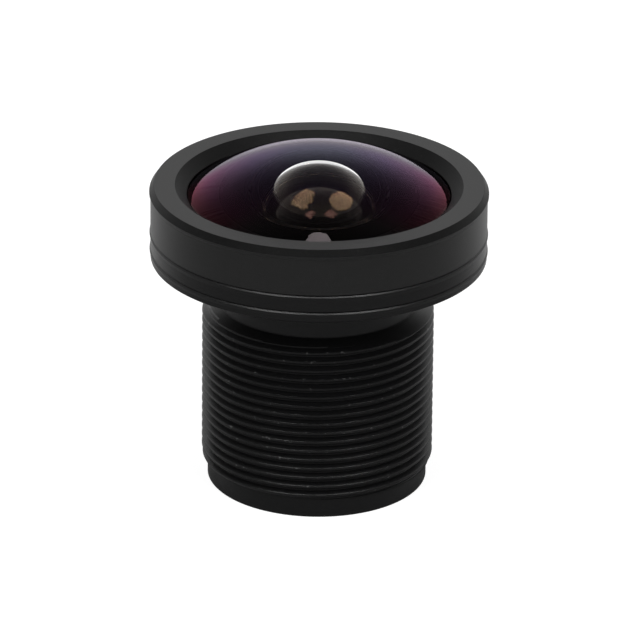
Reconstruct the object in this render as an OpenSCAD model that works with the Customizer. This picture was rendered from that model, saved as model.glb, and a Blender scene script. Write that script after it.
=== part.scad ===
// Wide-angle lens with an M12 x 0.5 barrel, in millimetres.
// It stands on its rear end, with the optical axis on Z and the front glass up.
// The pieces are stacked from the rear end, each on the one below it, and the
// threaded stretch of the barrel takes up whatever height the stack needs.

/* [Barrel outside] */
// Outer diameter of the M12 thread
thread_d = 12; // [11.8:0.1:12.6]
// Chamfer at both ends of the thread
thread_chamfer = 0.15; // [0.05:0.05:0.25]
// Step in from the thread to the plain ring behind it
end_step = 0.31; // [0.2:0.01:0.6]
// Height of the plain ring behind the thread
end_ring_h = 1.55; // [0.8:0.05:2.4]
// Chamfer at the foot of the plain ring
end_chamfer = 0.12; // [0.05:0.01:0.3]
// Wall of the undercut neck below the head, round the front bore
neck_wall = 0.77; // [0.5:0.01:1.2]
// Height of the undercut neck
neck_h = 2.38; // [1.6:0.02:3.2]
// Height of the lowest band of the head
flange_h = 0.57; // [0.4:0.01:1.2]
// Height of the middle band of the head
middle_band_h = 0.92; // [0.6:0.01:1.4]
// Radius that the thin lip above each groove stands proud of its band
lip_stand = 0.06; // [0.02:0.01:0.1]
// Height over which a lip flares out
lip_h = 0.2; // [0.1:0.01:0.3]
// Depth of the V grooves round the head
groove_depth = 0.12; // [0.06:0.01:0.2]
// Height of each slope of a groove
groove_h = 0.08; // [0.05:0.01:0.12]

/* [Front retaining ring] */
// Wall of the ring round the barrel's boss
ring_wall = 0.83; // [0.6:0.01:1.6]
// Height of the ring, which is the top band of the head
ring_h = 2.48; // [2.2:0.02:3.2]
// Width of the chamfer round the top flat, measured along the radius
ring_chamfer_w = 0.23; // [0.1:0.01:0.35]
// Height of that chamfer
ring_chamfer_h = 0.34; // [0.2:0.01:0.45]
// Width of the inner bevel between the top flat and the glass
ring_bevel_w = 0.605; // [0.3:0.005:0.9]
// Height of that bevel
ring_bevel_h = 0.486; // [0.3:0.002:0.8]
// Width by which the ring's lip covers the rim of the glass
rim_cover = 0.3; // [0.15:0.01:0.5]
// Height of the thin upright edge below the bevel
ring_land = 0.07; // [0.04:0.01:0.15]
// Wall of the barrel's boss inside the ring
boss_wall = 0.7; // [0.5:0.05:0.9]
// Height left free between the boss and the ring's lip
boss_gap = 0.35; // [0.2:0.05:0.5]

/* [Front glass] */
// Diameter of the front glass
front_d = 14.2; // [14:0.05:14.4]
// Radius of the front dome
dome_r = 11.3; // [10.6:0.1:14]
// Height of the glass's cylindrical rim
front_edge_h = 1.18; // [0.9:0.02:1.4]
// Thickness of the front glass on the axis
front_centre_t = 1.3; // [1.1:0.05:1.6]
// Radius of the hollow in its back
hollow_r = 3.5; // [3.2:0.05:3.9]
// Distance of the sealing ring's middle line from the rim of the glass
seal_inset = 0.7; // [0.4:0.05:1.1]
// Thickness of the sealing ring's cord
seal_cord_d = 0.56; // [0.4:0.02:0.7]
// Share of its thickness that the sealing ring keeps when it is squashed
seal_squash = 0.8; // [0.7:0.05:0.95]

/* [Front group] */
// Diameter of the second, third and fourth glass
front_group_d = 8.72; // [8.3:0.02:8.9]
// Height of the first spacer, below the front glass
first_spacer_h = 0.83; // [0.7:0.01:1.2]
// Width of the cone inside the first spacer
first_cone_w = 0.35; // [0.2:0.01:0.6]
// Radius of the second glass's front
second_front_r = 6.5; // [6:0.1:9]
// Flat flange round the second glass's front curve
second_front_flange = 0.96; // [0.8:0.02:1.2]
// Radius of the hollow in the second glass's back
second_rear_r = 2.9; // [2.6:0.1:3.6]
// Half width of the second glass's rear hollow
second_rear_half = 2.4; // [2.2:0.1:2.6]
// Thickness of the second glass on the axis
second_centre_t = 0.8; // [0.6:0.05:1.2]
// Thickness of the light-shield washers
baffle_t = 0.08; // [0.04:0.01:0.15]
// Width of the first light-shield washer
first_baffle_w = 1.76; // [1.2:0.02:2]
// Height of the second spacer
second_spacer_h = 0.75; // [0.5:0.05:1.2]
// Wall of the second and third spacers
front_spacer_wall = 1.06; // [0.7:0.02:1.12]
// Thickness of the third glass at its edge
third_edge_t = 1.3; // [1.1:0.05:1.8]
// Radius of the hollow in the third glass's back
third_rear_r = 5.2; // [4.6:0.1:7]
// Flat flange round that hollow
third_rear_flange = 1.66; // [1.5:0.02:2]
// Air on the axis between the third and fourth glass
third_air = 0.38; // [0.3:0.02:0.8]
// Thickness of the fourth glass at its edge
fourth_edge_t = 0.9; // [0.7:0.05:1.4]
// Radius of the fourth glass's front
fourth_front_r = 5; // [4.6:0.1:6]
// Radius of the fourth glass's back
fourth_rear_r = 9; // [8:0.1:12]
// Flat flange round both curves of the fourth glass
fourth_flange = 1.16; // [1.12:0.02:1.5]
// Width of the shoulder that the fourth glass sits on
shoulder_w = 0.85; // [0.6:0.05:1]

/* [Stop] */
// Air on the axis between the fourth glass and the stop
stop_air = 0.31; // [0.2:0.01:0.6]
// Thickness of the stop foil
stop_t = 0.08; // [0.04:0.01:0.15]
// Diameter of the stop's hole
stop_d = 1.9; // [1.2:0.1:3]
// Thickness of the wall that carries the stop
web_t = 0.22; // [0.15:0.01:0.5]
// Hole in that wall
web_hole_d = 3.4; // [3.1:0.1:4.6]

/* [Rear group] */
// Diameter of the fifth, sixth and seventh glass
rear_group_d = 7.32; // [7:0.02:7.6]
// Height of the fourth spacer, behind the stop wall
fourth_spacer_h = 0.5; // [0.45:0.05:0.9]
// Wall of the fourth spacer
fourth_spacer_wall = 0.96; // [0.6:0.02:1]
// Radius of the fifth glass's front
fifth_front_r = 7; // [6.6:0.1:10]
// Flat flange round the fifth glass's front curve
fifth_flange = 1.06; // [1.04:0.02:1.5]
// Thickness of the fifth glass at its edge
fifth_edge_t = 0.9; // [0.7:0.05:1.4]
// Radius of the cemented joint between the fifth and sixth glass
joint_r = 6; // [5.4:0.1:9]
// Thickness of the sixth glass at its edge
sixth_edge_t = 1.8; // [1.6:0.05:2.2]
// Radius of the sixth glass's back
sixth_rear_r = 12; // [10:0.5:20]
// Flat flange round the sixth glass's back curve
sixth_flange = 0.56; // [0.5:0.02:1]
// Width of the second light-shield washer
second_baffle_w = 0.46; // [0.3:0.02:0.5]
// Air on the axis between the sixth and seventh glass
sixth_air = 0.13; // [0.1:0.01:0.6]
// Wall of the fifth spacer
fifth_spacer_wall = 0.46; // [0.3:0.02:0.5]
// Depth of the light-trap grooves inside the fifth spacer
trap_depth = 0.14; // [0.06:0.02:0.18]
// Number of light-trap grooves
trap_count = 3; // [1:1:4]
// Thickness of the seventh glass at its edge
seventh_edge_t = 0.9; // [0.7:0.05:1.4]
// Radius of the seventh glass's front
seventh_front_r = 6; // [5.4:0.1:9]
// Radius of the seventh glass's back
seventh_rear_r = 15; // [12:0.5:24]
// Flat flange round both curves of the seventh glass
seventh_flange = 0.56; // [0.54:0.02:1]
// Height of the rear retaining ring
rear_ring_h = 1; // [0.7:0.05:1.5]
// Wall of the rear retaining ring
rear_ring_wall = 0.51; // [0.4:0.01:0.52]
// Width of the ring's two spanner slots
slot_w = 0.7; // [0.4:0.05:1.2]
// Depth of the slots
slot_depth = 0.35; // [0.2:0.05:0.5]
// Gap round the infrared filter, filled with cement
filter_clear = 0.08; // [0.04:0.01:0.2]
// Thickness of the infrared filter
filter_t = 0.3; // [0.2:0.05:0.5]
// Depth of the filter's back behind the rear end of the barrel
rear_recess = 0.45; // [0.2:0.05:1]

/* [Fits] */
// Gap round each glass, measured along the radius
glass_clear = 0.02; // [0.01:0.01:0.05]
// Gap round each ring that drops or screws into the barrel
ring_clear = 0.02; // [0.01:0.01:0.05]
// Gap between the dome and the retaining ring's lip
dome_clear = 0.03; // [0.01:0.01:0.06]
// Bevel ground round the edges of each glass
glass_bevel = 0.1; // [0.05:0.01:0.15]

/* [Hidden] */
$fn = 128;

// Height of a spherical curve of a radius over its chord's half width
function sag(radius, half) = radius - sqrt(radius * radius - half * half);

// Overlap that lets a cut run clear through a face
cut = 0.5;

// Depth that a curve's base sinks into its glass, so that the two join
curve_sink = 0.02;

// Radii of the glasses, and of the curves inside their flanges
front_r = front_d / 2;
front_group_r = front_group_d / 2;
rear_group_r = rear_group_d / 2;
second_front_half = front_group_r - second_front_flange;
third_rear_half = front_group_r - third_rear_flange;
fourth_half = front_group_r - fourth_flange;
fifth_half = rear_group_r - fifth_flange;
sixth_half = rear_group_r - sixth_flange;
seventh_half = rear_group_r - seventh_flange;

// Curve heights
dome_sag = sag(dome_r, front_r);
second_front_sag = sag(second_front_r, second_front_half);
second_rear_sag = sag(second_rear_r, second_rear_half);
third_rear_sag = sag(third_rear_r, third_rear_half);
fourth_front_sag = sag(fourth_front_r, fourth_half);
fourth_rear_sag = sag(fourth_rear_r, fourth_half);
joint_sag = sag(joint_r, rear_group_r);
sixth_rear_sag = sag(sixth_rear_r, sixth_half);
seventh_front_sag = sag(seventh_front_r, seventh_half);

// Heights that follow from the curves and the air between them
second_edge_t = second_centre_t - second_front_sag + second_rear_sag;
third_spacer_h = third_air + fourth_front_sag - third_rear_sag;
fifth_spacer_h = sixth_air + sixth_rear_sag + seventh_front_sag - baffle_t;

// Rear face of each piece, from the rear end of the barrel upwards
filter_z = rear_recess;
rear_ring_z = filter_z + filter_t;
seventh_z = rear_ring_z + rear_ring_h;
fifth_spacer_z = seventh_z + seventh_edge_t;
second_baffle_z = fifth_spacer_z + fifth_spacer_h;
sixth_z = second_baffle_z + baffle_t;
fifth_z = sixth_z + sixth_edge_t;
fourth_spacer_z = fifth_z + fifth_edge_t;
web_z = fourth_spacer_z + fourth_spacer_h;
stop_z = web_z + web_t;
fourth_z = stop_z + stop_t + stop_air + fourth_rear_sag;
third_spacer_z = fourth_z + fourth_edge_t;
third_z = third_spacer_z + third_spacer_h;
second_spacer_z = third_z + third_edge_t;
first_baffle_z = second_spacer_z + second_spacer_h;
second_z = first_baffle_z + baffle_t;
first_spacer_z = second_z + second_edge_t;
seat_z = first_spacer_z + first_spacer_h;
dome_z = seat_z + front_edge_h + dome_sag;

// Underside of the retaining ring's lip, just clear of the dome
ring_opening_r = front_r - rim_cover;
ring_lip_z = dome_z - sag(dome_r, ring_opening_r) + dome_clear;

// Levels of the head and the barrel
top_z = ring_lip_z + ring_land + ring_bevel_h;
ring_z = top_z - ring_h;
lower_groove_z = ring_z - middle_band_h;
head_z = lower_groove_z - flange_h;
neck_z = head_z - neck_h;

// Radii that pieces share
front_bore_r = front_group_r + glass_clear;
rear_bore_r = rear_group_r + glass_clear;
middle_bore_r = front_bore_r - shoulder_w;
front_ring_r = front_bore_r - ring_clear;
rear_ring_r = rear_bore_r - ring_clear;
neck_r = front_bore_r + neck_wall;
seat_bore_r = front_r + glass_clear;
boss_r = seat_bore_r + boss_wall;
ring_bore_r = boss_r + ring_clear;
head_r = ring_bore_r + ring_wall;
lip_r = head_r + lip_stand;
groove_r = head_r - groove_depth;
seal_r = front_r - seal_inset;

// The squashed sealing ring fills its groove from floor to glass
seal_h = seal_cord_d * seal_squash;
seal_groove_w = seal_cord_d + 2 * ring_clear;

// A plain ring or washer of a wall
module ring_piece(z, h, outer_r, wall) {
    translate([0, 0, z])
        difference() {
            cylinder(h = h, r = outer_r);
            translate([0, 0, -cut]) cylinder(h = h + 2 * cut, r = outer_r - wall);
        }
}

// A round glass blank with bevelled edges
module blank(z, h, radius, bevel = glass_bevel) {
    rotate_extrude()
        polygon([
            [0, z], [radius - bevel, z], [radius, z + bevel],
            [radius, z + h - bevel], [radius - bevel, z + h], [0, z + h]
        ]);
}

// A spherical curve that stands up from the level z
module rise(z, radius, half) {
    intersection() {
        translate([0, 0, z + sag(radius, half) - radius]) sphere(r = radius);
        translate([0, 0, z - curve_sink]) cylinder(h = radius, r = radius);
    }
}

// A spherical curve that hangs down from the level z
module drop(z, radius, half) {
    intersection() {
        translate([0, 0, z - sag(radius, half) + radius]) sphere(r = radius);
        translate([0, 0, z - radius + curve_sink]) cylinder(h = radius, r = radius);
    }
}

// A spherical hollow cut upwards into a face at the level z
module hollow(z, radius, half) {
    translate([0, 0, z + sag(radius, half) - radius]) sphere(r = radius);
}

// Outside of the head's two lower bands, with the lip and groove between them
function head_profile() = [
    [groove_r, head_z],
    [head_r, head_z + groove_h],
    [head_r, lower_groove_z - groove_h],
    [groove_r, lower_groove_z],
    [lip_r, lower_groove_z + groove_h],
    [head_r, lower_groove_z + lip_h],
    [head_r, ring_z - groove_h],
    [groove_r, ring_z]
];

// The turned barrel: rear ring, thread at its outer diameter, neck, head and boss
module barrel() {
    thread_r = thread_d / 2;
    end_r = thread_r - end_step;
    boss_top_z = ring_lip_z - boss_gap;
    color("#202022")
        difference() {
            rotate_extrude()
                polygon(concat(
                    [
                        [0, 0], [end_r - end_chamfer, 0], [end_r, end_chamfer],
                        [end_r, end_ring_h],
                        [thread_r - thread_chamfer, end_ring_h],
                        [thread_r, end_ring_h + thread_chamfer],
                        [thread_r, neck_z - thread_chamfer],
                        [thread_r - thread_chamfer, neck_z],
                        [neck_r, neck_z], [neck_r, head_z]
                    ],
                    head_profile(),
                    [[boss_r, ring_z], [boss_r, boss_top_z], [0, boss_top_z]]
                ));
            translate([0, 0, -cut]) cylinder(h = web_z + cut, r = rear_bore_r);
            cylinder(h = top_z, d = web_hole_d);
            translate([0, 0, stop_z]) cylinder(h = top_z, r = middle_bore_r);
            translate([0, 0, fourth_z]) cylinder(h = top_z, r = front_bore_r);
            translate([0, 0, seat_z]) cylinder(h = top_z, r = seat_bore_r);
            ring_piece(
                seat_z - seal_h, seal_h + cut,
                seal_r + seal_groove_w / 2, seal_groove_w
            );
        }
}

// The screwed cap ring over the boss, with the bevel down to the glass
module front_retaining_ring() {
    flare_h = lip_h - groove_h;
    chamfer_z = top_z - ring_chamfer_h;
    color("#2a2a2c")
        rotate_extrude()
            polygon([
                [ring_bore_r, ring_z],
                [groove_r, ring_z],
                [lip_r, ring_z + groove_h],
                [head_r, ring_z + lip_h],
                [head_r, chamfer_z - lip_h],
                [lip_r, chamfer_z - lip_h + flare_h],
                [lip_r, chamfer_z],
                [lip_r - ring_chamfer_w, top_z],
                [ring_opening_r + ring_bevel_w, top_z],
                [ring_opening_r, ring_lip_z + ring_land],
                [ring_opening_r, ring_lip_z],
                [ring_bore_r, ring_lip_z]
            ]);
}

// The sealing ring, squashed flat above and below
module front_seal_ring() {
    color("#101010")
        translate([0, 0, seat_z - seal_h / 2])
            rotate_extrude()
                translate([seal_r, 0])
                    intersection() {
                        circle(d = seal_cord_d);
                        square([seal_cord_d + cut, seal_h], center = true);
                    }
}

// The domed front glass with its deep hollow
module front_element() {
    color("#3a3450", 0.6)
        difference() {
            intersection() {
                blank(seat_z, front_edge_h + dome_sag + glass_bevel, front_r);
                translate([0, 0, dome_z - dome_r]) sphere(r = dome_r);
            }
            translate([0, 0, dome_z - front_centre_t - hollow_r]) sphere(r = hollow_r);
        }
}

// The conical spacer that frames the second glass
module first_spacer() {
    opening_r = second_front_half + ring_clear;
    color("#161616")
        rotate_extrude()
            polygon([
                [opening_r, first_spacer_z],
                [front_ring_r, first_spacer_z],
                [front_ring_r, seat_z],
                [opening_r - first_cone_w, seat_z]
            ]);
}

// The second glass: a meniscus with a flat flange round each curve
module second_element() {
    color("#4a3a20", 0.6)
        difference() {
            union() {
                blank(second_z, second_edge_t, front_group_r);
                rise(first_spacer_z, second_front_r, second_front_half);
            }
            hollow(second_z, second_rear_r, second_rear_half);
        }
}

module first_baffle() {
    color("#0c0c0c")
        ring_piece(first_baffle_z, baffle_t, front_ring_r, first_baffle_w);
}

module second_spacer() {
    color("#161616")
        ring_piece(second_spacer_z, second_spacer_h, front_ring_r, front_spacer_wall);
}

// The third glass: flat in front, hollow behind
module third_element() {
    color("#2c3c4a", 0.6)
        difference() {
            blank(third_z, third_edge_t, front_group_r);
            hollow(third_z, third_rear_r, third_rear_half);
        }
}

module third_spacer() {
    color("#161616")
        ring_piece(third_spacer_z, third_spacer_h, front_ring_r, front_spacer_wall);
}

// The fourth glass: curved outwards on both sides
module fourth_element() {
    color("#2c4a3c", 0.6)
        union() {
            blank(fourth_z, fourth_edge_t, front_group_r);
            rise(third_spacer_z, fourth_front_r, fourth_half);
            drop(fourth_z, fourth_rear_r, fourth_half);
        }
}

// The stop foil on its wall
module aperture_stop() {
    foil_r = middle_bore_r - ring_clear;
    color("#0c0c0c")
        ring_piece(stop_z, stop_t, foil_r, foil_r - stop_d / 2);
}

module fourth_spacer() {
    color("#161616")
        ring_piece(fourth_spacer_z, fourth_spacer_h, rear_ring_r, fourth_spacer_wall);
}

// The sphere of the cemented joint
module joint_sphere() {
    translate([0, 0, fifth_z - joint_sag + joint_r]) sphere(r = joint_r);
}

// The fifth glass, the outward-curved half of the cemented pair
module fifth_element() {
    color("#40506a", 0.6)
        union() {
            intersection() {
                blank(sixth_z, sixth_edge_t + fifth_edge_t, rear_group_r);
                joint_sphere();
            }
            rise(fourth_spacer_z, fifth_front_r, fifth_half);
        }
}

// The sixth glass, hollow in front to take the fifth
module sixth_element() {
    color("#506a40", 0.6)
        union() {
            difference() {
                blank(sixth_z, sixth_edge_t, rear_group_r);
                joint_sphere();
            }
            drop(sixth_z, sixth_rear_r, sixth_half);
        }
}

module second_baffle() {
    color("#0c0c0c")
        ring_piece(second_baffle_z, baffle_t, rear_ring_r, second_baffle_w);
}

// The long rear spacer, with V grooves turned inside it to trap stray light
module fifth_spacer() {
    pitch = fifth_spacer_h / (trap_count + 1);
    bore_r = rear_ring_r - fifth_spacer_wall;
    color("#161616")
        difference() {
            ring_piece(fifth_spacer_z, fifth_spacer_h, rear_ring_r, fifth_spacer_wall);
            for (i = [1 : trap_count])
                translate([0, 0, fifth_spacer_z + i * pitch])
                    rotate_extrude()
                        polygon([
                            [bore_r - trap_depth, -trap_depth],
                            [bore_r + trap_depth, 0],
                            [bore_r - trap_depth, trap_depth]
                        ]);
        }
}

// The seventh glass, nearest the sensor
module seventh_element() {
    color("#3a4a5a", 0.6)
        union() {
            blank(seventh_z, seventh_edge_t, rear_group_r);
            rise(fifth_spacer_z, seventh_front_r, seventh_half);
            drop(seventh_z, seventh_rear_r, seventh_half);
        }
}

// The rear ring, with two spanner slots across its rear face
module rear_retaining_ring() {
    color("#1c1c1e")
        difference() {
            ring_piece(rear_ring_z, rear_ring_h, rear_ring_r, rear_ring_wall);
            translate([-rear_group_d, -slot_w / 2, rear_ring_z - cut])
                cube([2 * rear_group_d, slot_w, slot_depth + cut]);
        }
}

// The flat infrared filter, cemented against the rear ring
module infrared_filter() {
    color("#70303a", 0.6)
        blank(filter_z, filter_t, rear_bore_r - filter_clear, filter_t / 4);
}

barrel();
front_retaining_ring();
front_seal_ring();
front_element();
first_spacer();
second_element();
first_baffle();
second_spacer();
third_element();
third_spacer();
fourth_element();
aperture_stop();
fourth_spacer();
fifth_element();
sixth_element();
second_baffle();
fifth_spacer();
seventh_element();
rear_retaining_ring();
infrared_filter();
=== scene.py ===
import math

import bpy
import numpy as np
from mathutils import Matrix, Vector


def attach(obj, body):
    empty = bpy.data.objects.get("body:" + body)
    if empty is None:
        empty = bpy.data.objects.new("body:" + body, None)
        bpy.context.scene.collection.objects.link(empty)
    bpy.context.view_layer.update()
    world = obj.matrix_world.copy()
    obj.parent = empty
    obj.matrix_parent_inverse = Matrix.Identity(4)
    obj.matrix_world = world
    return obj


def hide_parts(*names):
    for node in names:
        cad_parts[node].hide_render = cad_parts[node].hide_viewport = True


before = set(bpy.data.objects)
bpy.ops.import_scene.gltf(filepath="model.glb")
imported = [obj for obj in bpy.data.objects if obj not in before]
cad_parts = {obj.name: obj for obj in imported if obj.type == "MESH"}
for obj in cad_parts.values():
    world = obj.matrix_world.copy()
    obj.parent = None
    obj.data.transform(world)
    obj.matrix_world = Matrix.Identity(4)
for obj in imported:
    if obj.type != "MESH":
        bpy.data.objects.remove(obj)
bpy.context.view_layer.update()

MM = 0.001
AROUND, INNER_AROUND = 320, 192

# Sizes of the lens in millimetres, measured up from its rear end
THREAD_R, ROOT_R, PITCH, FIRST_CREST = 6.0, 5.7, 0.5, 9.339
# the thread runs one turn further down than on the solid, as in the photograph
END_R, END_TOP, END_CHAMFER = 5.69, 1.03, 0.06
NECK_R, NECK_Z, HEAD_Z = 5.15, 9.8526, 12.2326
LOWER_GROOVE_Z, RING_Z, TOP_Z = 12.8026, 13.7226, 16.2026
HEAD_R, LIP_R, GROOVE_R = 8.67, 8.73, 8.55
BOSS_R, BOSS_TOP, RING_BORE_R, OPENING_R = 7.82, 15.2966, 7.84, 6.8
RING_LIP_Z, SEAT_Z, SEAT_R = 15.6466, 14.2025, 7.12
FRONT_BORE_R, STACK_R, MIDDLE_R, REAR_BORE_R = 4.38, 4.36, 3.53, 3.68
WEB_Z, STOP_Z, FOURTH_Z, WEB_HOLE_R = 7.2502, 7.4702, 8.4483, 1.7
DOME_Z, DOME_R, FRONT_R = 17.8916, 11.3, 7.1
FRONT_MIDDLE, HOLLOW_R, GLASS_EDGE = 1.3, 3.5, 0.1
HOLLOW_Z = DOME_Z - FRONT_MIDDLE - HOLLOW_R


# shapes
def turned_line(points, rounding, steps=4):
    """Points and normals of a turned piece's outline, with each corner rounded.

    The corner P between unit directions a and b turns by the angle t. Its arc starts at
    P - a*d and ends at P + b*d, where d = radius*tan(t/2), held under 0.45 of each side.
    The normals swing evenly from one side's to the other's. A corner of radius 0 stays
    one point with the mean normal, as on a curve. The outline runs anticlockwise in
    (radius, height), so the normal of a direction (u, v) is (v, -u)."""
    p = np.asarray(points, float)
    rounding = np.broadcast_to(np.asarray(rounding, float), len(p)).copy()
    closed = p[0, 0] > 1e-9
    ahead, behind = np.roll(p, -1, 0) - p, p - np.roll(p, 1, 0)
    if not closed:
        ahead[-1], behind[0] = behind[-1], ahead[0]
        rounding[[0, -1]] = 0
    length_ahead, length_behind = np.hypot(*ahead.T), np.hypot(*behind.T)
    a, b = behind / length_behind[:, None], ahead / length_ahead[:, None]
    normal_a = np.stack([a[:, 1], -a[:, 0]], 1)
    turn = np.arctan2(a[:, 0] * b[:, 1] - a[:, 1] * b[:, 0], (a * b).sum(1))
    tangent = np.minimum(rounding * np.tan(np.abs(turn) / 2),
                         0.45 * np.minimum(length_ahead, length_behind))
    tangent[np.abs(turn) < 1e-4] = 0
    radius = np.where(tangent > 0, tangent / np.maximum(np.tan(np.abs(turn) / 2), 1e-9), 0)
    count = np.where(tangent > 0, steps, 1)
    which = np.repeat(np.arange(len(p)), count)
    first = np.cumsum(count) - count
    share = (np.arange(len(which)) - first[which]) / np.maximum(count[which] - 1, 1)
    share = np.where(count[which] == 1, 0.5, share)
    swing = share * turn[which]
    c, s = np.cos(swing), np.sin(swing)
    n0 = normal_a[which]
    normal = np.stack([c * n0[:, 0] - s * n0[:, 1], s * n0[:, 0] + c * n0[:, 1]], 1)
    sign = np.sign(turn)[which][:, None]
    start = p[which] - a[which] * tangent[which][:, None]
    place = start + sign * radius[which][:, None] * (normal - n0)
    place = np.where((count[which] == 1)[:, None], p[which], place)
    if not closed:
        normal[0], normal[-1] = (0, -1), (0, 1)
        place[[0, -1], 0] = 0
    return place, normal


def arc(centre_z, radius, r_from, r_to, count):
    """Points of a spherical curve: height = centre + sqrt(radius^2 - r^2), evenly in angle."""
    t = np.linspace(math.asin(r_from / radius), math.asin(r_to / radius), count)
    return np.stack([radius * np.sin(t), centre_z + radius * np.cos(t)], 1)


def spin(line, around):
    """Each outline point (r, z) taken round the axis: (r cos t, r sin t, z), row by row."""
    t = np.arange(around) * 2 * np.pi / around
    return np.stack([line[:, :1] * np.cos(t), line[:, :1] * np.sin(t),
                     np.broadcast_to(line[:, 1:], (len(line), around))], -1).reshape(-1, 3)


def make_mesh(name, points, faces, normals):
    """A smooth mesh of these points and normals. A face whose last number is -1 is a triangle."""
    mesh = bpy.data.meshes.new(name)
    quads, tris = faces[faces[:, 3] >= 0], faces[faces[:, 3] < 0][:, :3]
    loops = np.concatenate([quads.ravel(), tris.ravel()]).astype(np.int32)
    sizes = np.concatenate([np.full(len(quads), 4), np.full(len(tris), 3)])
    starts = np.concatenate([[0], np.cumsum(sizes)[:-1]]).astype(np.int32)
    mesh.vertices.add(len(points))
    mesh.vertices.foreach_set("co", (points * MM).astype(np.float32).ravel())
    mesh.loops.add(len(loops))
    mesh.loops.foreach_set("vertex_index", loops)
    mesh.polygons.add(len(sizes))
    mesh.polygons.foreach_set("loop_start", starts)
    mesh.polygons.foreach_set("use_smooth", np.ones(len(sizes), bool))
    mesh.update(calc_edges=True)
    mesh.validate()
    mesh.normals_split_custom_set_from_vertices(normals.tolist())
    piece = bpy.data.objects.new(name, mesh)
    bpy.context.scene.collection.objects.link(piece)
    return piece


def grid_faces(rows, around, closed):
    """Faces between the rows of points that each go round once, outwards for a turned outline."""
    i = np.arange(rows if closed else rows - 1)[:, None]
    j = np.arange(around)[None]
    k, m = (i + 1) % rows, (j + 1) % around
    return np.stack(np.broadcast_arrays(i * around + j, i * around + m,
                                        k * around + m, k * around + j), -1).reshape(-1, 4)


def lathe(name, points, rounding, node, around=AROUND, steps=4):
    """A piece turned about the axis: (r cos t, r sin t, z) for each outline point and angle t.

    An outline that starts and ends on the axis closes there in one point."""
    line, normal = turned_line(points, rounding, steps)
    closed = line[0, 0] > 1e-9
    ring, ring_n = (line, normal) if closed else (line[1:-1], normal[1:-1])
    places, normals = spin(ring, around), spin(ring_n, around)
    faces = grid_faces(len(ring), around, closed)
    if not closed:
        j = np.arange(around)
        m, top = (j + 1) % around, (len(ring) - 1) * around
        low, high = len(places), len(places) + 1
        none = np.full(around, -1)
        places = np.vstack([places, [[0, 0, line[0, 1]], [0, 0, line[-1, 1]]]])
        normals = np.vstack([normals, [[0, 0, -1], [0, 0, 1]]])
        faces = np.vstack([faces, np.stack([np.full(around, low), m, j, none], 1),
                           np.stack([top + j, top + m, np.full(around, high), none], 1)])
    piece = make_mesh(name, places, faces, normals)
    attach(piece, "root")
    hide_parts(node)
    return piece


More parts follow.
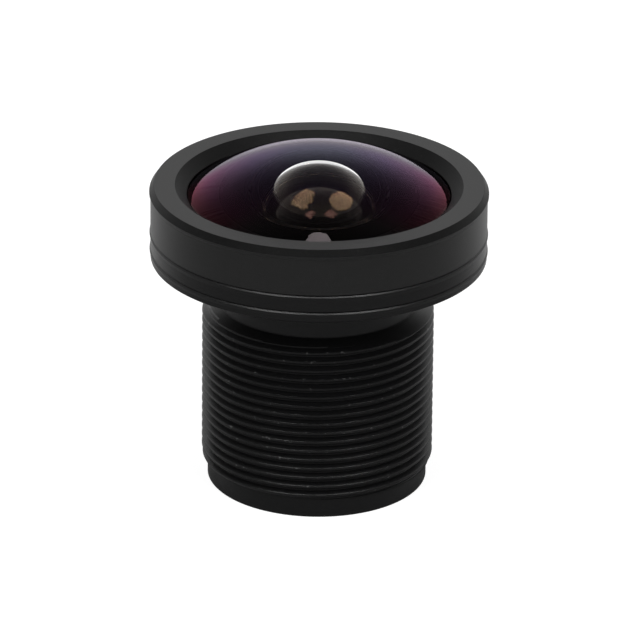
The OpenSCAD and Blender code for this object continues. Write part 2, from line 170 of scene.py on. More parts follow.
# barrel
def thread():
    """Thread as one helix: height = row + PITCH*t/2pi at the angle t.

    Its outline over one pitch has a round crest, two flanks and a root. Rows follow the
    helix and stop at the thread's two ends, where they gather into one ring. At each end
    a cone takes the lower of the two radii. Gives the points, their normals, the faces,
    and the point numbers of the lowest and the highest ring."""
    half_crest, half_root = 0.058, 0.05
    pitch_line, pitch_normal = turned_line(
        np.array([[ROOT_R, -PITCH / 2 - half_root], [ROOT_R, -PITCH / 2 + half_root],
                  [THREAD_R, -half_crest], [THREAD_R, half_crest],
                  [ROOT_R, PITCH / 2 - half_root], [ROOT_R, PITCH / 2 + half_root]]),
        [0, 0.04, 0.09, 0.09, 0.04, 0], steps=3)
    inside = (pitch_line[:, 1] > -PITCH / 2 + 1e-6) & (pitch_line[:, 1] < PITCH / 2 - 1e-6)
    profile, profile_normal = pitch_line[inside], pitch_normal[inside]
    order = np.argsort(profile[:, 1])
    profile, profile_normal = profile[order], profile_normal[order]
    per_turn = len(profile)
    # a crest faces the camera's side, at t = 270 degrees, at the height FIRST_CREST
    zero = FIRST_CREST - PITCH * 0.75
    lowest = math.floor((END_TOP - zero) / PITCH) - 2
    turns = math.ceil((NECK_Z - zero) / PITCH) + 1 - lowest
    z0 = (zero + (lowest + np.arange(turns))[:, None] * PITCH + profile[None, :, 1]).ravel()
    r0 = np.tile(profile[:, 0], turns)
    n0 = np.tile(profile_normal, (turns, 1))
    rows = len(z0)
    t = np.arange(AROUND) * 2 * np.pi / AROUND
    z_raw = z0[:, None] + PITCH * t[None] / (2 * np.pi)
    z = np.clip(z_raw, END_TOP, NECK_Z)
    phase = (z - PITCH * t[None] / (2 * np.pi) - zero + PITCH / 2) % PITCH - PITCH / 2
    wrap_z = np.concatenate([profile[-1:, 1] - PITCH, profile[:, 1], profile[:1, 1] + PITCH])
    wrap_r = np.concatenate([profile[-1:, 0], profile[:, 0], profile[:1, 0]])
    held = np.interp(phase, wrap_z, wrap_r)
    radius = np.where(z == z_raw, r0[:, None], held)
    # a slim cone at the lower end, and one that falls from the highest crest to the neck:
    # the slope of each, and the radius and height parts of its normal
    end_slope, end_nr, end_nz = 0.5, 0.89, -0.45
    neck_slope, neck_nr, neck_nz = 1.78, 0.49, 0.87
    lower_cone = THREAD_R - 0.16 + (z - END_TOP) * end_slope
    neck_cone = NECK_R + 0.05 + (NECK_Z - z) * neck_slope
    cone_r, upper = np.minimum(lower_cone, neck_cone), neck_cone < lower_cone
    cut = cone_r < radius
    radius = np.minimum(radius, cone_r)
    ct, st = np.cos(t)[None], np.sin(t)[None]
    lean = -n0[:, 1:] * PITCH / (2 * np.pi * radius)
    nr = np.where(cut, np.where(upper, neck_nr, end_nr), n0[:, :1])
    nz = np.where(cut, np.where(upper, neck_nz, end_nz), n0[:, 1:])
    normal = np.stack([nr * ct - lean * st, nr * st + lean * ct, nz], -1).reshape(-1, 3)
    points = np.stack([radius * ct, radius * st, z], -1).reshape(-1, 3)
    index = np.arange(rows * AROUND).reshape(rows, AROUND)
    index = np.where(z_raw <= END_TOP, index[:1], index)
    index = np.where(z_raw >= NECK_Z, index[-1:], index)
    over = np.minimum(np.arange(rows) + per_turn, rows - 1)
    index = np.concatenate([index, index[over, :1]], 1)
    quads = np.stack([index[:-1, :-1], index[:-1, 1:], index[1:, 1:], index[1:, :-1]], -1)
    quads = quads.reshape(-1, 4)
    left, right = quads[:, 0] == quads[:, 3], quads[:, 1] == quads[:, 2]
    quads = quads[~(left & right)]
    left, right = quads[:, 0] == quads[:, 3], quads[:, 1] == quads[:, 2]
    none = np.full(len(quads), -1)
    faces = np.vstack([quads[~left & ~right],
                       np.stack([quads[:, 0], quads[:, 1], quads[:, 2], none], 1)[left],
                       np.stack([quads[:, 0], quads[:, 1], quads[:, 3], none], 1)[right]])
    return points, normal, faces, index[0, :AROUND], index[-1, :AROUND]


def barrel():
    """The thread, joined to a turned outline (r cos t, r sin t, z) at both of its ends.

    The outline goes from the neck's foot round the head and down the bore to the rear ring.
    Each row is radius, height and the corner's rounding."""
    points, normal, faces, bottom, top = thread()
    seal_low, seal_in, seal_out = SEAT_Z - 0.448, 6.1, 6.7
    rest = np.array([
        (NECK_R, NECK_Z, 0.12), (NECK_R, HEAD_Z, 0.1),
        (GROOVE_R, HEAD_Z, 0.03), (HEAD_R, HEAD_Z + 0.08, 0.04), (HEAD_R, HEAD_Z + 0.3, 0.1),
        (LIP_R - 0.01, LOWER_GROOVE_Z - 0.1, 0.03), (GROOVE_R + 0.06, LOWER_GROOVE_Z - 0.01, 0.01),
        (GROOVE_R + 0.04, LOWER_GROOVE_Z + 0.01, 0.01),
        (HEAD_R - 0.01, LOWER_GROOVE_Z + 0.03, 0.02),
        (HEAD_R, LOWER_GROOVE_Z + 0.2, 0.1), (HEAD_R, RING_Z - 0.3, 0.1),
        (LIP_R - 0.01, RING_Z - 0.1, 0.03), (GROOVE_R + 0.06, RING_Z - 0.01, 0.01),
        (GROOVE_R + 0.04, RING_Z, 0.01),
        (BOSS_R, RING_Z, 0.03), (BOSS_R, BOSS_TOP, 0.05), (SEAT_R, BOSS_TOP, 0.05),
        (SEAT_R, SEAT_Z, 0.03), (seal_out, SEAT_Z, 0.03), (seal_out, seal_low, 0.03),
        (seal_in, seal_low, 0.03), (seal_in, SEAT_Z, 0.03),
        (FRONT_BORE_R, SEAT_Z, 0.05), (FRONT_BORE_R, FOURTH_Z, 0.03),
        (MIDDLE_R, FOURTH_Z, 0.03), (MIDDLE_R, STOP_Z, 0.03), (WEB_HOLE_R, STOP_Z, 0.03),
        (WEB_HOLE_R, WEB_Z, 0.03), (REAR_BORE_R, WEB_Z, 0.03), (REAR_BORE_R, 0, 0.08),
        (END_R - END_CHAMFER, 0, 0.04), (END_R, END_CHAMFER, 0.04), (END_R, END_TOP, 0)])
    line, line_n = turned_line(rest[:, :2], rest[:, 2], steps=3)
    line_n[-1] = (1, 0)
    base = len(points)
    j = np.arange(AROUND)
    m = (j + 1) % AROUND
    last = base + (len(line) - 1) * AROUND
    faces = np.vstack([
        faces, base + grid_faces(len(line), AROUND, False),
        np.stack([top[j], top[m], base + m, base + j], 1),
        np.stack([last + j, last + m, bottom[m], bottom[j]], 1)])
    points = np.vstack([points, spin(line, AROUND)])
    normal = np.vstack([normal, spin(line_n, AROUND)])
    used = np.unique(faces[faces >= 0])
    renumbered = np.full(len(points), -1)
    renumbered[used] = np.arange(len(used))
    faces = np.where(faces >= 0, renumbered[np.maximum(faces, 0)], -1)
    normal = normal[used] / np.linalg.norm(normal[used], axis=1, keepdims=True)
    piece = make_mesh("threaded_barrel", points[used], faces, normal)
    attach(piece, "root")
    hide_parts("barrel")
    return piece


def cap_ring():
    """Screwed ring with an outer chamfer, a flat top and a bevel down to the glass."""
    chamfer, chamfer_height, bevel = 0.23, 0.34, 0.605
    top = TOP_Z - chamfer_height
    outline = np.array([
        (RING_BORE_R, RING_Z, 0.03), (GROOVE_R + 0.04, RING_Z, 0.01),
        (HEAD_R, RING_Z + 0.03, 0.02),
        (HEAD_R, RING_Z + 0.2, 0.05), (HEAD_R, top - 0.2, 0.05), (LIP_R, top - 0.08, 0.03),
        (LIP_R, top, 0.04), (LIP_R - chamfer, TOP_Z, 0.03), (OPENING_R + bevel, TOP_Z, 0.06),
        (OPENING_R, RING_LIP_Z + 0.07, 0.03), (OPENING_R, RING_LIP_Z, 0.02),
        (RING_BORE_R, RING_LIP_Z, 0.03)])
    return lathe("cap_ring", outline[:, :2], outline[:, 2], "front_retaining_ring")


def dome():
    """Front glass: a dome of DOME_R over a flat back with a round hollow of HOLLOW_R."""
    # the hollow's centre lies below the back face, so its mouth is a little narrower
    mouth = math.sqrt(HOLLOW_R ** 2 - (SEAT_Z - HOLLOW_Z) ** 2)
    inner = arc(HOLLOW_Z, HOLLOW_R, 0, mouth, 90)
    outer = arc(DOME_Z - DOME_R, DOME_R, FRONT_R, 0, 100)
    points = np.vstack([inner, [[FRONT_R - GLASS_EDGE, SEAT_Z],
                               [FRONT_R, SEAT_Z + GLASS_EDGE]], outer])
    rounding = np.zeros(len(points))
    rounding[len(inner) - 1:len(inner) + 3] = 0.03
    return lathe("front_glass", points, rounding, "front_element")


def glass(name, node, low, high, radius, front_curve, rear_curve):
    """A glass between two edge heights. A curve is (radius, half width), with a positive
    radius where the middle lies ahead of the rim and a negative one where it lies behind.
    Its height is z +- (sqrt(radius^2 - r^2) - sqrt(radius^2 - half^2))."""
    def cap(z, curve):
        if curve is None:
            return np.array([[0.0, z]])
        bend, half = curve
        line = arc(z, abs(bend), 0, half, 48)
        lift = line[:, 1] - line[-1, 1]
        return np.stack([line[:, 0], z + math.copysign(1, bend) * lift], 1)
    rear, lead = cap(low, rear_curve), cap(high, front_curve)[::-1]
    edge = np.array([[radius - GLASS_EDGE, low], [radius, low + GLASS_EDGE],
                     [radius, high - GLASS_EDGE], [radius - GLASS_EDGE, high]])
    points = np.vstack([rear, edge, lead])
    rounding = np.zeros(len(points))
    rounding[len(rear) - 1:len(rear) + 5] = 0.02
    return lathe(name, points, rounding, node, around=INNER_AROUND, steps=3)


threaded, ring, front = barrel(), cap_ring(), dome()
second_z, first_spacer_z = 12.2605, 13.3725
cone = lathe("cone_spacer", [(3.42, first_spacer_z), (STACK_R, first_spacer_z),
                             (STACK_R, SEAT_Z), (3.07, SEAT_Z)],
             0.015, "first_spacer", around=256)
second = glass("second_glass", "second_element", second_z, first_spacer_z, STACK_R,
               (6.5, 3.4), (2.9, 2.4))
third_z, second_spacer_z, first_baffle_z, third_spacer_z = 10.1305, 11.4305, 12.1805, 9.3483
third = glass("third_glass", "third_element", third_z, second_spacer_z, STACK_R,
              None, (5.2, 2.7))
fourth = glass("fourth_glass", "fourth_element", FOURTH_Z, third_spacer_z, STACK_R,
               (5.0, 3.2), (-9.0, 3.2))
rear_ring_z, fifth_spacer_z, rear_stack_r = 1.75, 2.65, 3.66
seventh = glass("seventh_glass", "seventh_element", rear_ring_z, fifth_spacer_z, rear_stack_r,
                (6.0, 3.1), (-15.0, 3.1))
shield = lathe("light_shield", [(2.6, first_baffle_z), (STACK_R, first_baffle_z),
                                (STACK_R, second_z), (2.6, second_z)],
               0.01, "first_baffle", around=INNER_AROUND, steps=3)
filter_low, filter_high, filter_r, filter_edge = 0.45, 0.75, 3.6, 0.075
cut_filter = lathe("cut_filter", [
    (0, filter_low), (filter_r - filter_edge, filter_low), (filter_r, filter_low + filter_edge),
    (filter_r, filter_high - filter_edge), (filter_r - filter_edge, filter_high),
    (0, filter_high)], [0, 0.02, 0.02, 0.02, 0.02, 0], "infrared_filter", around=INNER_AROUND)


# material helpers
class Tree:
    """Adds and links nodes of one node tree."""

    def __init__(self, tree):
        self.tree = tree

    def add(self, kind, **values):
        node = self.tree.nodes.new(kind)
        for key, value in values.items():
            setattr(node, key, value)
        return node

    def put(self, socket, value):
        if isinstance(value, bpy.types.NodeSocket):
            self.tree.links.new(value, socket)
        elif value is not None:
            socket.default_value = value

    def math(self, operation, a, b=None, c=None, clamp=False):
        node = self.add("ShaderNodeMath", operation=operation, use_clamp=clamp)
        for socket, value in zip(node.inputs, (a, b, c)):
            self.put(socket, value)
        return node.outputs[0]

    def span(self, value, low, high, to_low=0.0, to_high=1.0, smooth=True):
        node = self.add("ShaderNodeMapRange",
                        interpolation_type="SMOOTHSTEP" if smooth else "LINEAR")
        for key, v in (("Value", value), ("From Min", low), ("From Max", high),
                       ("To Min", to_low), ("To Max", to_high)):
            self.put(node.inputs[key], v)
        return node.outputs[0]

    def blend(self, factor, a, b):
        node = self.add("ShaderNodeMix", data_type="RGBA")
        self.put(node.inputs["Factor"], factor)
        for name, v in (("A", a), ("B", b)):
            socket = [s for s in node.inputs if s.name == name and s.type == "RGBA"][0]
            self.put(socket, (*v, 1) if isinstance(v, tuple) and len(v) == 3 else v)
        return [s for s in node.outputs if s.type == "RGBA"][0]

    def noise(self, vector, scale, detail=2.0, roughness=0.5):
        node = self.add("ShaderNodeTexNoise")
        self.put(node.inputs["Vector"], vector)
        self.put(node.inputs["Scale"], scale)
        self.put(node.inputs["Detail"], detail)
        self.put(node.inputs["Roughness"], roughness)
        return node.outputs["Fac"]

    def ramp(self, factor, stops):
        node = self.add("ShaderNodeValToRGB")
        self.put(node.inputs[0], factor)
        ramp = node.color_ramp
        while len(ramp.elements) < len(stops):
            ramp.elements.new(0.5)
        for element, (at, colour) in zip(ramp.elements, stops):
            element.position, element.color = at, (*colour, 1)
        return node.outputs[0]


def turned_finish():
    """Effect shared by the turned pieces, on Object coordinates.

    Grain is fine blasted noise. Lines are the tool's rings, noise of the radius and height
    only. Flecks are sparse worn spots. Radius is the distance from the axis in mm."""
    group = bpy.data.node_groups.new("turned finish", "ShaderNodeTree")
    face = group.interface
    for name, value in (("Grain size", 0.05), ("Line width", 0.06), ("Fleck size", 0.25)):
        face.new_socket(name, in_out="INPUT", socket_type="NodeSocketFloat").default_value = value
    for name in ("Grain", "Lines", "Flecks", "Radius", "Height"):
        face.new_socket(name, in_out="OUTPUT", socket_type="NodeSocketFloat")
    t = Tree(group)
    into, out = t.add("NodeGroupInput"), t.add("NodeGroupOutput")
    place = t.add("ShaderNodeTexCoord").outputs["Object"]
    scaled = t.add("ShaderNodeVectorMath", operation="SCALE")
    t.put(scaled.inputs[0], place)
    scaled.inputs["Scale"].default_value = 1000
    apart = t.add("ShaderNodeSeparateXYZ")
    t.put(apart.inputs[0], scaled.outputs[0])
    x, y, z = apart.outputs
    radius = t.math("SQRT", t.math("ADD", t.math("MULTIPLY", x, x), t.math("MULTIPLY", y, y)))
    rings = t.add("ShaderNodeCombineXYZ")
    t.put(rings.inputs[0], radius)
    t.put(rings.inputs[1], z)
    t.put(out.inputs["Grain"], t.noise(scaled.outputs[0],
                                       t.math("DIVIDE", 1.0, into.outputs["Grain size"]), 3))
    t.put(out.inputs["Lines"], t.noise(rings.outputs[0],
                                       t.math("DIVIDE", 1.0, into.outputs["Line width"]), 2))
    worn = t.noise(scaled.outputs[0], t.math("DIVIDE", 1.0, into.outputs["Fleck size"]), 3, 0.6)
    t.put(out.inputs["Flecks"], t.span(worn, 0.62, 0.72))
    t.put(out.inputs["Radius"], radius)
    t.put(out.inputs["Height"], z)
    return group


FINISH = turned_finish()


def new_material(name):
    """An empty material, its node tree and its output node."""
    mat = bpy.data.materials.new(name)
    mat.use_nodes = True
    mat.node_tree.nodes.clear()
    t = Tree(mat.node_tree)
    out = t.add("ShaderNodeOutputMaterial")
    return mat, t, out


def black_metal(name, colour, worn, roughness, level, grain=0.05, thread=False):
    """Black anodised metal: satin, with turning rings, grain and a few worn flecks.

    On a thread the flecks lie on the crests only, and the neck's colour is made lighter as a
    painted sheen."""
    mat, t, out = new_material(name)
    finish = t.add("ShaderNodeGroup", node_tree=FINISH)
    finish.inputs["Grain size"].default_value = grain
    finish.inputs["Line width"].default_value = 0.06
    shader = t.add("ShaderNodeBsdfPrincipled")
    grains, lines, flecks, radius, height = (finish.outputs[k] for k in (
        "Grain", "Lines", "Flecks", "Radius", "Height"))
    tone = t.blend(t.span(grains, 0.3, 0.7), tuple(c * 0.75 for c in colour),
                   tuple(c * 1.25 for c in colour))
    if thread:
        crest = t.math("MULTIPLY", t.span(radius, 5.9, 5.98), t.span(height, 9.7, 9.6))
        flecks = t.math("MULTIPLY", flecks, t.math("ADD", 0.02, t.math("MULTIPLY", crest, 0.9)))
        # painted sheen: the neck's base colour is lightened to stand in for the light it reflects
        neck = t.math("MULTIPLY", t.span(radius, 5.3, 5.2), t.span(height, NECK_Z, NECK_Z + 0.1))
        tone = t.blend(t.math("MULTIPLY", neck, t.span(height, HEAD_Z + 0.1, HEAD_Z)),
                       tone, tuple(c * 3.2 for c in colour))
    else:
        flecks = t.math("MULTIPLY", flecks, 0.05)
    t.put(shader.inputs["Base Color"], t.blend(flecks, tone, worn))
    rough = t.math("ADD", roughness, t.math("MULTIPLY", t.math("SUBTRACT", grains, 0.5), 0.12))
    t.put(shader.inputs["Roughness"], rough)
    shader.inputs["Specular IOR Level"].default_value = level
    height_mix = t.math("ADD", t.math("MULTIPLY", grains, 0.6), t.math("MULTIPLY", lines, 0.4))
    bumps = t.add("ShaderNodeBump")
    bumps.inputs["Strength"].default_value = 0.5
    bumps.inputs["Distance"].default_value = 0.02 * MM
    t.put(bumps.inputs["Height"], height_mix)
    t.put(shader.inputs["Normal"], bumps.outputs[0])
    t.put(out.inputs["Surface"], shader.outputs[0])
    return mat


def plain_black(name, colour, roughness, level=0.3):
    """Matt black film, paint or rubber with a soft mottle."""
    mat, t, out = new_material(name)
    finish = t.add("ShaderNodeGroup", node_tree=FINISH)
    shader = t.add("ShaderNodeBsdfPrincipled")
    t.put(shader.inputs["Base Color"], t.blend(
        finish.outputs["Grain"], tuple(c * 0.7 for c in colour), tuple(c * 1.3 for c in colour)))
    t.put(shader.inputs["Roughness"], t.math("ADD", roughness, t.math(
        "MULTIPLY", finish.outputs["Lines"], 0.1)))
    shader.inputs["Specular IOR Level"].default_value = level
    t.put(out.inputs["Surface"], shader.outputs[0])
    return mat


def clear_glass(name, ior, tint=(1, 1, 1), film=0.0, film_ior=1.38):
    """Polished glass with a thin coating film."""
    mat, t, out = new_material(name)
    shader = t.add("ShaderNodeBsdfPrincipled")
    shader.inputs["Base Color"].default_value = (*tint, 1)
    shader.inputs["Roughness"].default_value = 0.0
    shader.inputs["IOR"].default_value = ior
    shader.inputs["Transmission Weight"].default_value = 1.0
    shader.inputs["Thin Film Thickness"].default_value = film
    shader.inputs["Thin Film IOR"].default_value = film_ior
    t.put(out.inputs["Surface"], shader.outputs[0])
    return mat


def coated_glass(name, ior, share, tint_stops, skim, front=None, through=(1, 1, 1)):
    """Polished glass whose coating reflects by the angle, for the surfaces that show.

    The reflected share is 2*(share + (1 - share)*facing^6.3), held under 1. Its colour
    follows the distance from the axis, where a steep surface takes a thinner coating, and
    turns to the front colour where the surface faces the eye and to skim at its edge.
    What passes is coloured by through."""
    mat, t, out = new_material(name)
    finish = t.add("ShaderNodeGroup", node_tree=FINISH)
    facing = t.add("ShaderNodeLayerWeight")
    facing.inputs["Blend"].default_value = 0.5
    part = t.math("ADD", share, t.math("MULTIPLY", 1 - share, t.math(
        "POWER", facing.outputs["Facing"], 6.3)))
    part = t.math("MULTIPLY", part, 2.0, clamp=True)
    away = t.span(finish.outputs["Radius"], 0.0, 6.8, smooth=False)
    tint = t.ramp(away, tint_stops)
    if front:
        tint = t.blend(t.span(facing.outputs["Facing"], 0.22, 0.36), front, tint)
    tint = t.blend(t.span(facing.outputs["Facing"], 0.66, 0.82), tint, skim)
    body = t.add("ShaderNodeBsdfRefraction")
    body.inputs["IOR"].default_value = ior
    body.inputs["Color"].default_value = (*through, 1)
    body.inputs["Roughness"].default_value = 0.0
    gloss = t.add("ShaderNodeBsdfGlossy")
    gloss.inputs["Roughness"].default_value = 0.0
    t.put(gloss.inputs["Color"], tint)
    mix = t.add("ShaderNodeMixShader")
    t.put(mix.inputs[0], part)
    t.put(mix.inputs[1], body.outputs[0])
    t.put(mix.inputs[2], gloss.outputs[0])
    t.put(out.inputs["Surface"], mix.outputs[0])
    return mat


def wear(piece, mats):
    """Gives a piece its materials."""
    piece.data.materials.clear()
    for mat in mats:
        piece.data.materials.append(mat)


barrel_black = black_metal("black anodised barrel", (0.005, 0.005, 0.0052),
                           (0.08, 0.08, 0.08), 0.36, 0.36, thread=True)
ring_black = black_metal("black blasted ring", (0.006, 0.006, 0.006),
                         (0.1, 0.1, 0.1), 0.46, 0.6, grain=0.04)
slope_black = black_metal("black blasted slopes", (0.006, 0.006, 0.006),
                          (0.1, 0.1, 0.1), 0.5, 0.11, grain=0.04)
spacer_black = plain_black("matt black spacer", (0.005, 0.005, 0.005), 0.85, 0.05)
film_black = plain_black("matt black film", (0.005, 0.005, 0.005), 0.7)
paint_black = plain_black("black edge paint", (0.001, 0.001, 0.001), 0.5, 0.0)
rubber_black = plain_black("black rubber", (0.01, 0.01, 0.01), 0.5)
dome_glass = coated_glass(
    "coated dome glass", 1.52, 0.018,
    [(0.0, (0.5, 0.5, 0.67)), (0.22, (0.5, 0.48, 0.67)), (0.5, (0.56, 0.42, 0.7)),
     (0.7, (0.63, 0.36, 0.6)), (0.85, (0.75, 0.3, 0.52)), (0.96, (0.85, 0.28, 0.38)),
     (0.98, (0.85, 0.3, 0.38)), (1.0, (1.0, 0.75, 0.72))], (0.37, 0.34, 0.39), (0.54, 0.47, 0.49))
hollow_glass = clear_glass("polished hollow", 1.52, film=90)
# painted shade: this glass lets only six parts in a hundred through, darkening the inside of the
# lens behind it
second_glass_painted_shade = coated_glass("amber coated glass", 1.6, 0.009, [
    (0.0, (0.62, 0.54, 0.47)), (0.5, (0.62, 0.56, 0.5)), (1.0, (0.5, 0.5, 0.5))],
    (0.3, 0.3, 0.3), through=(0.06, 0.058, 0.06))
inner_clear = coated_glass("green coated glass", 1.6, 0.009, [
    (0.0, (0.7, 0.5, 0.5)), (0.5, (0.5, 0.6, 0.5)), (1.0, (0.5, 0.5, 0.6))], (0.3, 0.3, 0.3),
    through=(0.8, 0.82, 0.8))
filter_clear = clear_glass("red sheen filter", 1.52, (0.8, 0.45, 0.45), film=260, film_ior=2.1)

wear(threaded, [barrel_black])
wear(ring, [ring_black, slope_black])
wear(front, [dome_glass, hollow_glass, paint_black])
wear(cone, [spacer_black])
wear(shield, [film_black])
wear(second, [second_glass_painted_shade])
for piece in (third, fourth, seventh):
    wear(piece, [inner_clear])
wear(cut_filter, [filter_clear])
for node, mat, slot in (
        ("front_seal_ring", rubber_black, "seal_rubber"),
        ("second_spacer", spacer_black, "spacer_black"),
        ("third_spacer", spacer_black, "spacer_black"),
        ("aperture_stop", film_black, "stop_foil"),
        ("fourth_spacer", spacer_black, "spacer_black"),
        ("fifth_element", inner_clear, "inner_glass"),
        ("sixth_element", inner_clear, "inner_glass"),
        ("second_baffle", film_black, "baffle_film"),
        ("fifth_spacer", spacer_black, "spacer_black"),
        ("rear_retaining_ring", ring_black, "ring_black")):
    wear(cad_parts[node], [mat])


def of_faces(piece, what):
    """The normal or the centre of each face of a piece, as rows of three numbers."""
    values = np.zeros(len(piece.data.polygons) * 3, np.float32)
    piece.data.polygons.foreach_get(what, values)
    return values.reshape(-1, 3)


# the ring's chamfer and bevel are a little more matt than its flat top and its side
rise = of_faces(ring, "normal")[:, 2]
sloping = (rise > 0.3) & (rise < 0.95)
ring.data.polygons.foreach_set("material_index", sloping.astype(np.int32))

# the dome's faces: coated outside, polished hollow, painted back and edge
centres = of_faces(front, "center") / MM
from_dome = np.linalg.norm(centres - (0, 0, DOME_Z - DOME_R), axis=1)
from_hollow = np.linalg.norm(centres - (0, 0, HOLLOW_Z), axis=1)
near = 0.01
in_hollow = (from_hollow < HOLLOW_R + near) & (centres[:, 2] > SEAT_Z + 0.06)
kind = np.where(np.abs(from_dome - DOME_R) < near, 0, np.where(in_hollow, 1, 2))
front.data.polygons.foreach_set("material_index", kind.astype(np.int32))


# studio
def sweep():
    """Pale floor that shows white to the camera and keeps the lens's shadow.

    For gloss it glows with painted light behind the lens, and a painted shadow round the lens's
    foot fades out with the distance from it."""
    corners = [(-2, -2, 0), (2, -2, 0), (2, 2, 0), (-2, 2, 0)]
    mesh = bpy.data.meshes.new("floor")
    mesh.from_pydata(corners, [], [(0, 1, 2, 3)])
    floor = bpy.data.objects.new("floor", mesh)
    bpy.context.scene.collection.objects.link(floor)
    mat, t, out = new_material("pale floor")
    shader = t.add("ShaderNodeBsdfPrincipled")
    shader.inputs["Base Color"].default_value = (0.36, 0.36, 0.36, 1)
    shader.inputs["Roughness"].default_value = 0.9
    shader.inputs["Specular IOR Level"].default_value = 0.0
    seen = t.add("ShaderNodeLightPath")
    place = t.add("ShaderNodeTexCoord").outputs["Object"]
    across = t.add("ShaderNodeSeparateXYZ")
    t.put(across.inputs[0], place)
    far = t.add("ShaderNodeVectorMath", operation="LENGTH")
    t.put(far.inputs[0], place)
    # painted light and shadow for gloss: a glow behind the lens, and a painted contact shadow
    # close round it
    painted_glow_and_shadow = t.math("MULTIPLY", t.span(across.outputs[1], -0.005, 0.06), t.span(
        far.outputs["Value"], 0.007, 0.034, 0.0, 0.95))
    shader.inputs["Emission Color"].default_value = (1, 1, 1, 1)
    t.put(shader.inputs["Emission Strength"], t.math("ADD", t.math(
        "MULTIPLY", seen.outputs["Is Camera Ray"], 0.85), t.math(
        "MULTIPLY", seen.outputs["Is Glossy Ray"], painted_glow_and_shadow)))
    t.put(out.inputs["Surface"], shader.outputs[0])
    mesh.materials.append(mat)


def studio_world():
    """Bright backdrop behind the lens and at its sides, dim room above and in front.

    Brightness is a falling function of the height of the direction, times a share that
    goes from the camera's side to the far side. The camera itself sees plain white."""
    world = bpy.data.worlds.new("studio")
    bpy.context.scene.world = world
    world.use_nodes = True
    world.node_tree.nodes.clear()
    t = Tree(world.node_tree)
    out = t.add("ShaderNodeOutputWorld")
    way = t.add("ShaderNodeSeparateXYZ")
    t.put(way.inputs[0], t.add("ShaderNodeTexCoord").outputs["Generated"])
    y, z = way.outputs[1:]
    high = t.ramp(z, [(0.0, (1.1,) * 3), (0.06, (1.0,) * 3), (0.14, (0.88,) * 3),
                      (0.28, (0.85,) * 3), (0.41, (0.74,) * 3), (0.52, (0.50,) * 3),
                      (0.7, (0.28,) * 3), (1.0, (0.16,) * 3)])
    behind = t.span(y, -0.3, 0.45, 0.25, 1.0)
    light = t.math("MULTIPLY", high, behind)
    seen = t.add("ShaderNodeLightPath")
    back = t.add("ShaderNodeBackground")
    t.put(back.inputs["Color"], t.blend(seen.outputs["Is Camera Ray"], light, (1, 1, 1)))
    t.put(out.inputs["Surface"], back.outputs[0])


def lamp(name, place, aim, size, power, shape="DISK"):
    """A soft lamp of a size in metres at a place, pointed at aim."""
    data = bpy.data.lights.new(name, "AREA")
    data.shape, data.size, data.energy = shape, size, power
    thing = bpy.data.objects.new(name, data)
    bpy.context.scene.collection.objects.link(thing)
    thing.location = place
    thing.rotation_euler = (Vector(aim) - Vector(place)).to_track_quat("-Z", "Y").to_euler()
    return thing


def window(name, ways, strength, colour):
    """Bright card half a metre out, seen only through the front glass.

    Its corners lie in the given directions, and it is a fan of triangles from their middle.
    It glows for rays that have passed three glass surfaces, and lets all others by."""
    points = 0.5 * ways / np.linalg.norm(ways, axis=1, keepdims=True)
    count = len(points)
    points = np.vstack([points, points.mean(0)])
    mesh = bpy.data.meshes.new(name)
    mesh.from_pydata(points.tolist(), [], [(i, (i + 1) % count, count) for i in range(count)])
    card = bpy.data.objects.new(name, mesh)
    bpy.context.scene.collection.objects.link(card)
    mat, t, out = new_material(name)
    seen = t.add("ShaderNodeLightPath")
    glow = t.add("ShaderNodeEmission")
    glow.inputs["Strength"].default_value = strength
    glow.inputs["Color"].default_value = (*colour, 1)
    mix = t.add("ShaderNodeMixShader")
    t.put(mix.inputs[0], t.math("GREATER_THAN", seen.outputs["Transmission Depth"], 2.5))
    t.put(mix.inputs[1], t.add("ShaderNodeBsdfTransparent").outputs[0])
    t.put(mix.inputs[2], glow.outputs[0])
    t.put(out.inputs["Surface"], mix.outputs[0])
    mat.cycles.emission_sampling = "NONE"
    mesh.materials.append(mat)
    for way_seen in ("camera", "diffuse", "glossy", "shadow"):
        setattr(card, "visible_" + way_seen, False)


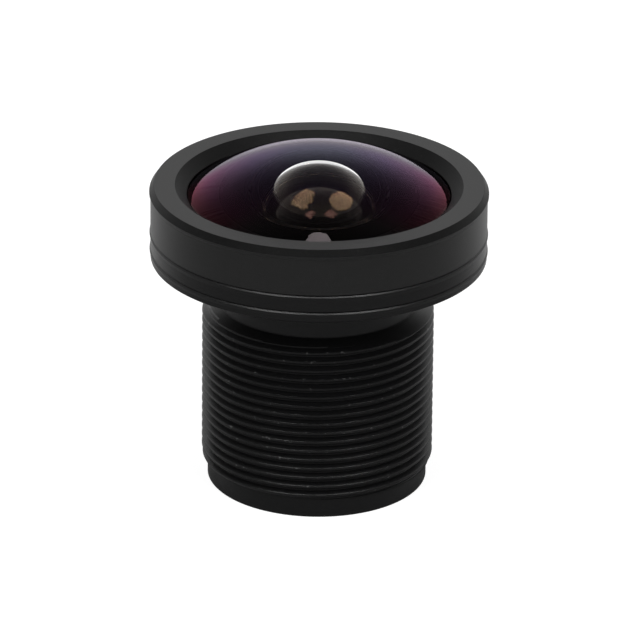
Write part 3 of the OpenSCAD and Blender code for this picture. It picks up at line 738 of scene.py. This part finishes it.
def compass(pairs):
    """Directions from degrees round, counted from the camera's side, and degrees up."""
    way = np.radians(np.array(pairs, float))
    return np.stack([np.sin(way[:, 0]) * np.cos(way[:, 1]),
                     -np.cos(way[:, 0]) * np.cos(way[:, 1]), np.sin(way[:, 1])], 1)


def camera():
    """The photograph's view: 23.8 degrees above the horizon, 370 mm away, slightly rolled."""
    above, roll, distance = math.radians(23.78), math.radians(0.541), 0.3702
    back = Vector((0, -math.cos(above), math.sin(above)))
    aim = Vector((0.104, 0, 8.606)) * MM
    right0 = Vector((1, 0, 0))
    up0 = back.cross(right0)
    right = right0 * math.cos(roll) + up0 * math.sin(roll)
    up = up0 * math.cos(roll) - right0 * math.sin(roll)
    data = bpy.data.cameras.new("photograph view")
    data.sensor_width, data.lens = 36, 402.4
    data.clip_start, data.clip_end = 0.01, 20
    thing = bpy.data.objects.new("photograph view", data)
    bpy.context.scene.collection.objects.link(thing)
    turn = Matrix((right, up, back)).transposed().to_4x4()
    thing.matrix_world = Matrix.Translation(aim + back * distance) @ turn
    bpy.context.scene.camera = thing


sweep()
studio_world()
overhead = lamp("overhead lamp", (0, -0.041, 0.6), (0, 0, 0.015), 0.112, 0.18)
overhead.visible_transmission = False
for side in (-1, 1):
    soft = lamp("soft key", (0.6 * side, -0.8, 0.8), (0, 0, 0.01), 0.5, 7, "SQUARE")
    soft.visible_glossy = soft.visible_transmission = False
    front_box = lamp("front box", (0.2 * side, -0.17, 0.6), (0, 0, 0.005), 0.15, 1.25, "SQUARE")
    front_box.visible_diffuse = front_box.visible_transmission = False
amber, pink = (1, 0.72, 0.48), (1, 0.55, 0.5)
window("left window", compass([
    (-132, 29), (-151, 16), (-167, 2), (-169, 11), (-175, 26), (-168, 35), (-170, 47),
    (-156, 51), (-127, 63)]), 10, amber)
window("right window", compass([
    (136, 11), (124, 31), (121, 50), (141, 57), (161, 44), (163, 21), (158, 1), (149, -3)]),
    10, amber)
window("upper left window", compass([(-105, 66), (-150, 68), (-151, 82), (-80, 76)]), 7, pink)
window("upper right window", compass([(135, 79), (140, 62), (111, 59), (89, 70)]), 7, pink)
camera()
bpy.context.scene.view_settings.view_transform = "Standard"
